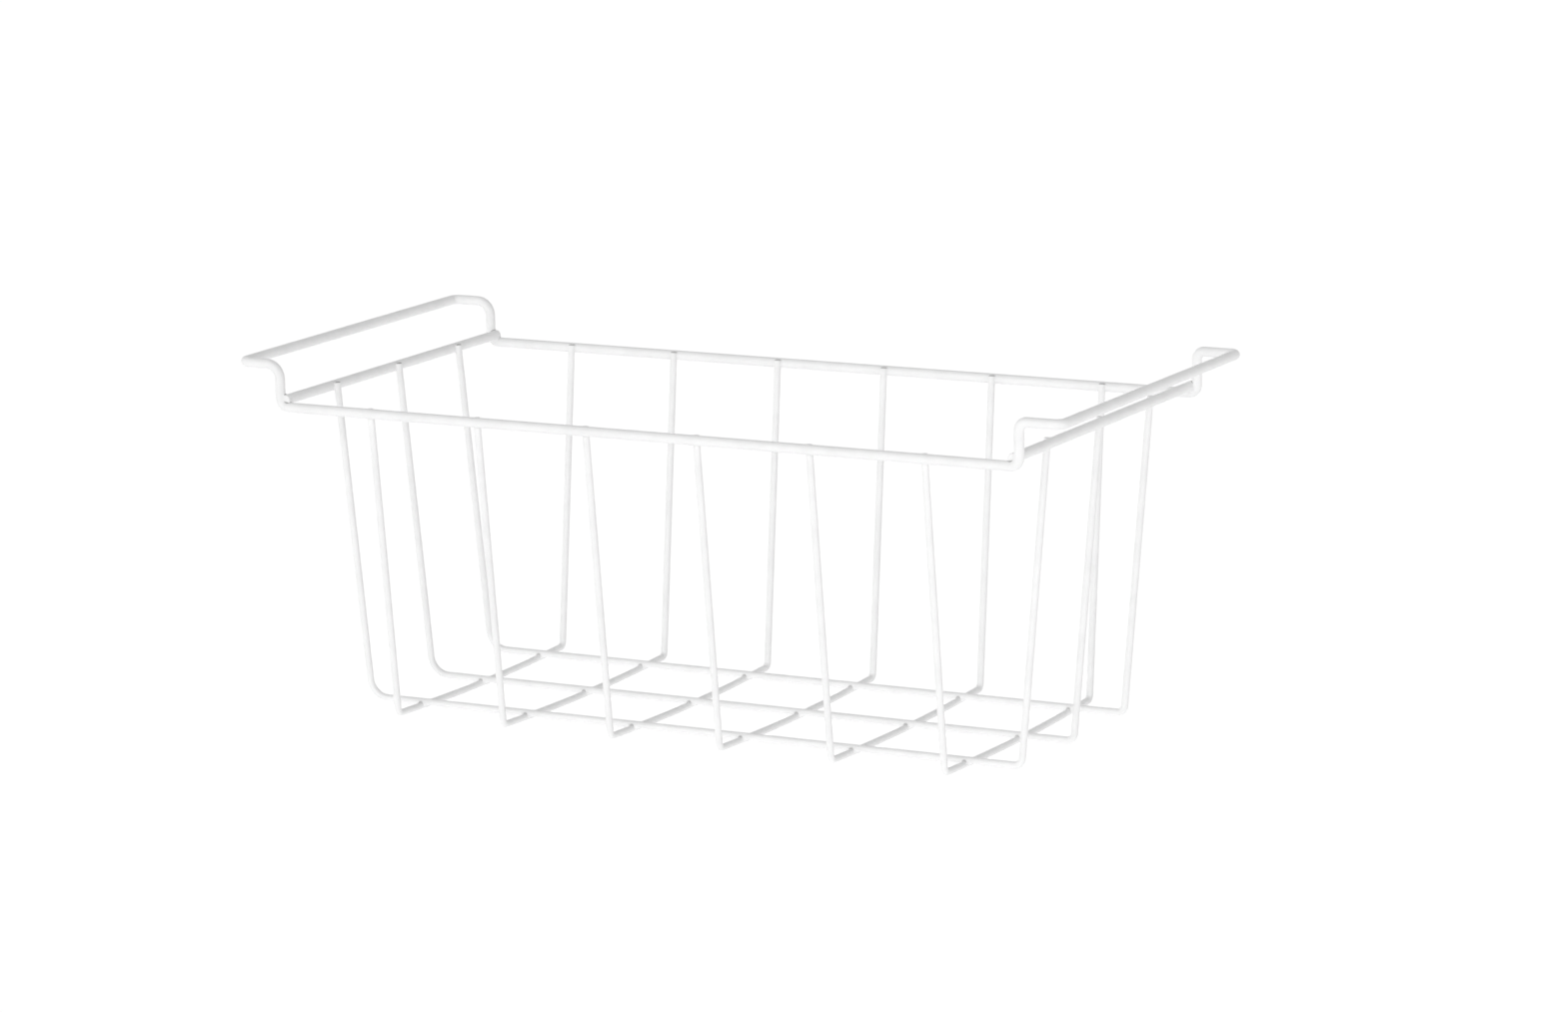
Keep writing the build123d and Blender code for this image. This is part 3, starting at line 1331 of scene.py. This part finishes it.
@dataclass(frozen=True)
class Softbox:
    """A broad lamp far away, by the level that it gives a white face turned to it."""

    name: str
    level: float
    yaw: float
    elevation: float
    softness: float

    def build(self) -> None:
        """Hang the lamp, turned to the basket."""
        data = bpy.data.lights.new(self.name, "SUN")
        data.energy = self.level * math.pi
        data.angle = self.softness
        lamp = bpy.data.objects.new(self.name, data)
        lamp.rotation_euler = from_front(self.yaw, self.elevation).to_track_quat("Z", "Y").to_euler()
        bpy.context.scene.collection.objects.link(lamp)


@dataclass(frozen=True)
class BounceCard:
    """A small soft lamp close to the basket's right end, as a white card there would light it."""

    name: str
    power: float
    place: tuple[float, float, float]
    target: tuple[float, float, float]
    side: float

    def build(self) -> None:
        """Stand the card in its place, turned to its target."""
        data = bpy.data.lights.new(self.name, "AREA")
        data.shape = "SQUARE"
        data.size = self.side
        data.energy = self.power
        card = bpy.data.objects.new(self.name, data)
        place = Vector(self.place)
        turn = (place - Vector(self.target)).to_track_quat("Z", "Y")
        card.matrix_world = Matrix.Translation(place) @ turn.to_matrix().to_4x4()
        bpy.context.scene.collection.objects.link(card)


FRONT_SOFTBOX = Softbox(
    "front_softbox",
    level=0.33,
    yaw=math.radians(5),
    elevation=math.radians(15),
    softness=math.radians(50),
)
LEFT_SOFTBOX = Softbox(
    "left_softbox",
    level=0.135,
    yaw=math.radians(-75),
    elevation=math.radians(10),
    softness=math.radians(60),
)
RIGHT_CARD = BounceCard(
    "right_card",
    power=1.1,
    place=(1.05, -0.60, 0.12),
    target=(0.27, 0.0, 0.12),
    side=0.5,
)


@dataclass(frozen=True)
class Studio:
    """A white light table in a pale room, with broad soft lamps at the front and the sides."""

    wall_level: float = 0.60
    ceiling_level: float = 0.36
    table_glow: float = 0.39
    table_white: float = 0.14
    table_colour: str = "#F2F2F2"
    table_radius: float = 20.0
    table_sides: int = 96

    def build(self) -> None:
        """Make the room, the table and the lamps."""
        self.room()
        self.table()
        for lamp in (FRONT_SOFTBOX, LEFT_SOFTBOX, RIGHT_CARD):
            lamp.build()

    def room(self) -> None:
        """Light the room, less from its ceiling, and show it white to the camera and in reflections."""
        world = bpy.data.worlds.new("pale_room")
        world.use_nodes = True
        tree = world.node_tree
        tree.nodes.clear()
        towards = add_node(tree, "ShaderNodeTexCoord").outputs["Generated"]
        height = add_node(tree, "ShaderNodeSeparateXYZ", {"Vector": towards}).outputs["Z"]
        limits = {"To Min": self.wall_level, "To Max": self.ceiling_level}
        light = add_node(tree, "ShaderNodeMapRange", {"Value": height, **limits}).outputs["Result"]
        limits = {"To Min": light, "To Max": 1.0}
        level = add_node(tree, "ShaderNodeMapRange", {"Value": seen(tree), **limits}).outputs["Result"]
        air = add_node(tree, "ShaderNodeBackground", {"Color": linear(WHITE), "Strength": level})
        add_node(tree, "ShaderNodeOutputWorld", {"Surface": air.outputs["Background"]})
        bpy.context.scene.world = world

    def table(self) -> None:
        """Make the floor, a softly lit white sheet that reaches out of view."""
        radius = self.table_radius
        angles = [math.tau * side / self.table_sides for side in range(self.table_sides)]
        edge = [(radius * math.cos(angle), radius * math.sin(angle), 0.0) for angle in angles]
        mesh = bpy.data.meshes.new("light_table")
        mesh.from_pydata(edge, [], [tuple(range(self.table_sides))])
        table = bpy.data.objects.new("light_table", mesh)
        bpy.context.scene.collection.objects.link(table)
        material = bpy.data.materials.new("opal_acrylic_light_table")
        material.use_nodes = True
        tree = material.node_tree
        tree.nodes.clear()
        matt = add_node(tree, "ShaderNodeBsdfDiffuse", {"Color": linear(self.table_colour)})
        limits = {"To Min": self.table_glow, "To Max": self.table_glow + self.table_white}
        level = add_node(tree, "ShaderNodeMapRange", {"Value": seen(tree), **limits}).outputs["Result"]
        glow = add_node(tree, "ShaderNodeEmission", {"Color": linear(WHITE), "Strength": level})
        both = add_node(tree, "ShaderNodeAddShader", {0: matt.outputs[0], 1: glow.outputs[0]})
        add_node(tree, "ShaderNodeOutputMaterial", {"Surface": both.outputs[0]})
        mesh.materials.append(material)


def seen(tree: bpy.types.NodeTree) -> bpy.types.NodeSocket:
    """Tell the rays that see the room from those that light the basket.

    Args:
        tree: The material's or the world's tree.

    Returns:
        A socket that is one for camera, glossy and transmission rays, and zero for others.
    """
    rays = add_node(tree, "ShaderNodeLightPath")
    level = rays.outputs["Is Camera Ray"]
    for ray in ("Is Glossy Ray", "Is Transmission Ray"):
        either = {0: level, 1: rays.outputs[ray]}
        level = add_node(tree, "ShaderNodeMath", either, operation="MAXIMUM").outputs[0]
    return level


def main() -> None:
    """Build the basket round its CAD model, and the studio round the basket."""
    logging.basicConfig(level=logging.INFO, format="%(name)s: %(message)s")
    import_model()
    basket, skin, coat = Basket(), CoatSkin(), WhiteCoat().material()
    WireWork(basket, skin, coat).build()
    WeldWork(basket, skin, coat).build()
    Studio().build()
    PhotoCamera().build()
    bpy.context.scene.view_settings.view_transform = "Standard"


if __name__ == "__main__":
    main()
